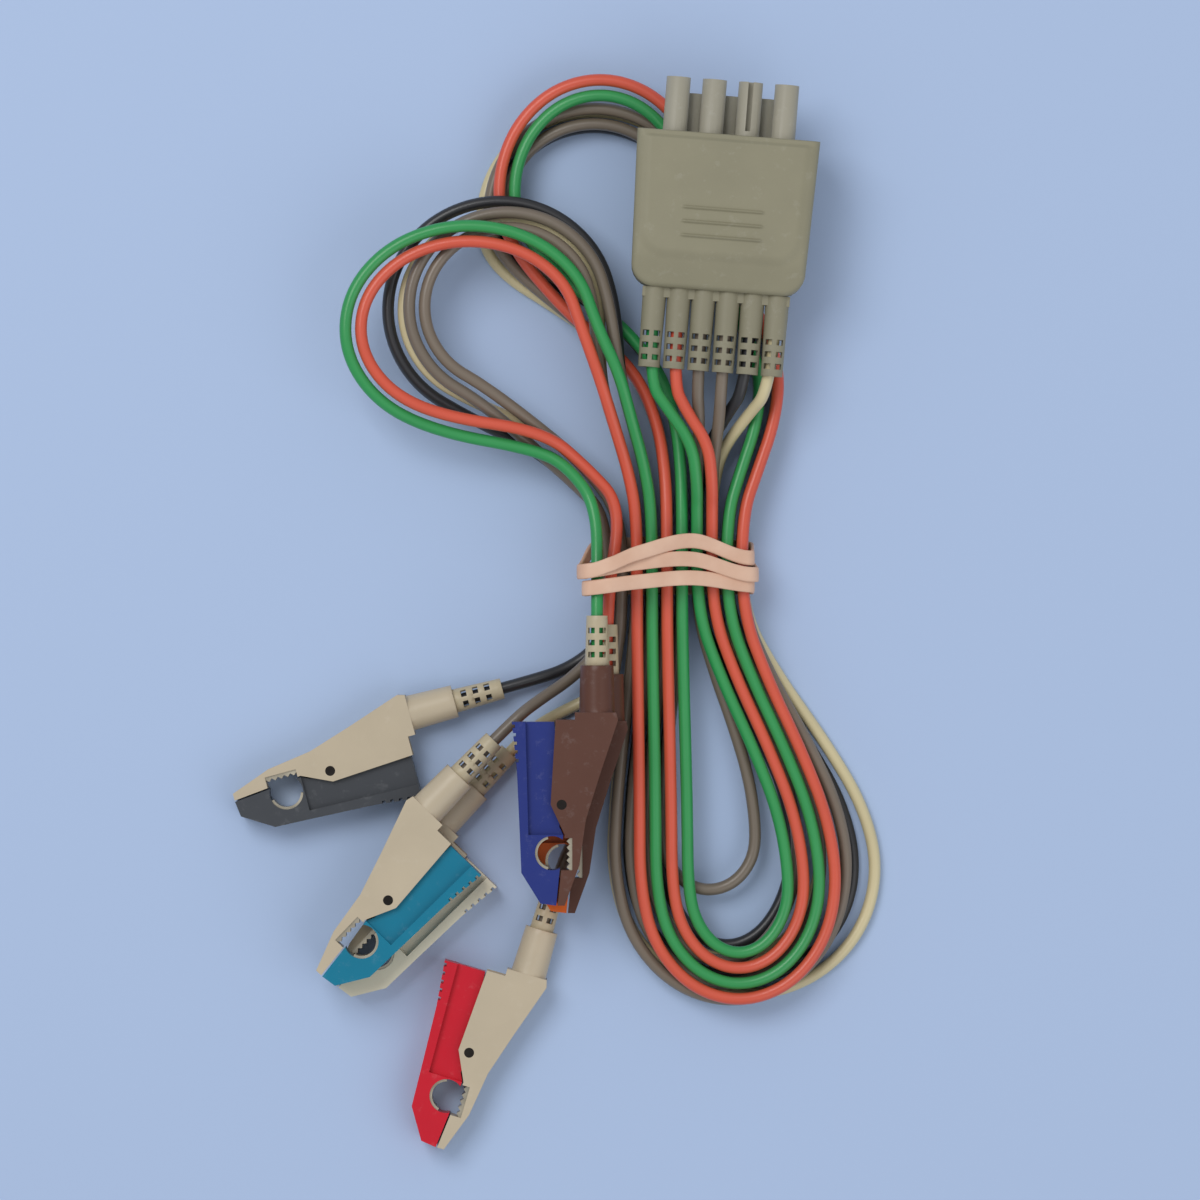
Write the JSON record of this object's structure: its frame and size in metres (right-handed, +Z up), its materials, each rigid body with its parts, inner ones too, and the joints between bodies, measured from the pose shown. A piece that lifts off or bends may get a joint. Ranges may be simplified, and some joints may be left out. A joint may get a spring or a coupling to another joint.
{
  "type": "ecg electrode lead set",
  "caption": "Hospital electrode lead set: multi-way plug, coloured lead wires folded into a banded hank, and spring crocodile clips with hinged levers.",
  "frame": {"origin": "on the surface it lies on, below the middle of the plug, band and clips", "axes": "+Y along the hank towards the plug's prongs, +X to the right in the picture, +Z up from the surface"},
  "size_m": [0.1299, 0.2152, 0.0226],
  "materials": {
    "housing": "fine matte moulded plastic",
    "prong": "smooth moulded plastic",
    "contact": "plated",
    "green_wire": "smooth soft insulation",
    "red_wire": "smooth soft insulation",
    "taupe_wire": "smooth soft insulation",
    "black_wire": "smooth soft insulation",
    "cream_wire": "smooth soft insulation",
    "band": "matte natural rubber",
    "beige": "satin moulded plastic",
    "brown": "satin moulded plastic",
    "dark_grey": "satin moulded plastic",
    "teal": "satin moulded plastic",
    "red": "satin moulded plastic",
    "blue": "satin moulded plastic",
    "orange": "satin moulded plastic",
    "cream": "satin moulded plastic",
    "steel": "bright steel"
  },
  "bodies": {
    "set": {"plug_upper_shell": "housing", "plug_lower_shell": "housing", "plug_insert": "prong", "socket_contacts": "contact", "plug_reliefs": "housing", "green_lead": "green_wire", "red_lead": "red_wire", "taupe_one_lead": "taupe_wire", "taupe_two_lead": "taupe_wire", "black_lead": "black_wire", "cream_lead": "cream_wire", "rubber_band": "band", "hinge_pins": "steel", "grey_clip_body": "beige", "grey_clip_body_contact": "contact", "grey_clip_spring": "steel", "grey_clip_relief": "beige", "teal_clip_body": "beige", "teal_clip_body_contact": "contact", "teal_clip_spring": "steel", "teal_clip_relief": "beige", "red_clip_body": "beige", "red_clip_body_contact": "contact", "red_clip_spring": "steel", "red_clip_relief": "beige", "blue_clip_body": "brown", "blue_clip_body_contact": "contact", "blue_clip_spring": "steel", "blue_clip_relief": "beige", "orange_clip_body": "brown", "orange_clip_body_contact": "contact", "orange_clip_spring": "steel", "orange_clip_relief": "beige", "cream_clip_body": "beige", "cream_clip_body_contact": "contact", "cream_clip_spring": "steel", "cream_clip_relief": "beige"},
    "grey_clip_arm": {"grey_clip_lever": "dark_grey", "grey_clip_lever_contact": "contact"},
    "teal_clip_arm": {"teal_clip_lever": "teal", "teal_clip_lever_contact": "contact"},
    "red_clip_arm": {"red_clip_lever": "red", "red_clip_lever_contact": "contact"},
    "blue_clip_arm": {"blue_clip_lever": "blue", "blue_clip_lever_contact": "contact"},
    "orange_clip_arm": {"orange_clip_lever": "orange", "orange_clip_lever_contact": "contact"},
    "cream_clip_arm": {"cream_clip_lever": "cream", "cream_clip_lever_contact": "contact"}
  },
  "joints": [
    {"name": "grey_clip_hinge", "type": "hinge", "parent": "set", "child": "grey_clip_arm", "pos_m": [-0.03914, -0.03127, 0.0036], "axis": [0, 0, 1], "range_deg": [0, 18], "stiffness_Nm_per_rad": 0.1, "springref_deg": -11.46},
    {"name": "teal_clip_hinge", "type": "hinge", "parent": "set", "child": "teal_clip_arm", "pos_m": [-0.02734, -0.05687, 0.0111], "axis": [0, 0, 1], "range_deg": [0, 18], "stiffness_Nm_per_rad": 0.1, "springref_deg": -11.46},
    {"name": "red_clip_hinge", "type": "hinge", "parent": "set", "child": "red_clip_arm", "pos_m": [-0.01133, -0.08767, 0.0036], "axis": [0, 0, -1], "range_deg": [0, 18], "stiffness_Nm_per_rad": 0.1, "springref_deg": -11.46},
    {"name": "blue_clip_hinge", "type": "hinge", "parent": "set", "child": "blue_clip_arm", "pos_m": [0.00726, -0.03767, 0.0173], "axis": [0, 0, -1], "range_deg": [0, 18], "stiffness_Nm_per_rad": 0.1, "springref_deg": -11.46},
    {"name": "orange_clip_hinge", "type": "hinge", "parent": "set", "child": "orange_clip_arm", "pos_m": [0.00927, -0.03947, 0.0098], "axis": [0, 0, -1], "range_deg": [0, 18], "stiffness_Nm_per_rad": 0.1, "springref_deg": -11.46},
    {"name": "cream_clip_hinge", "type": "hinge", "parent": "set", "child": "cream_clip_arm", "pos_m": [-0.02433, -0.05947, 0.0036], "axis": [0, 0, 1], "range_deg": [0, 18], "stiffness_Nm_per_rad": 0.1, "springref_deg": -11.46}
  ]
}
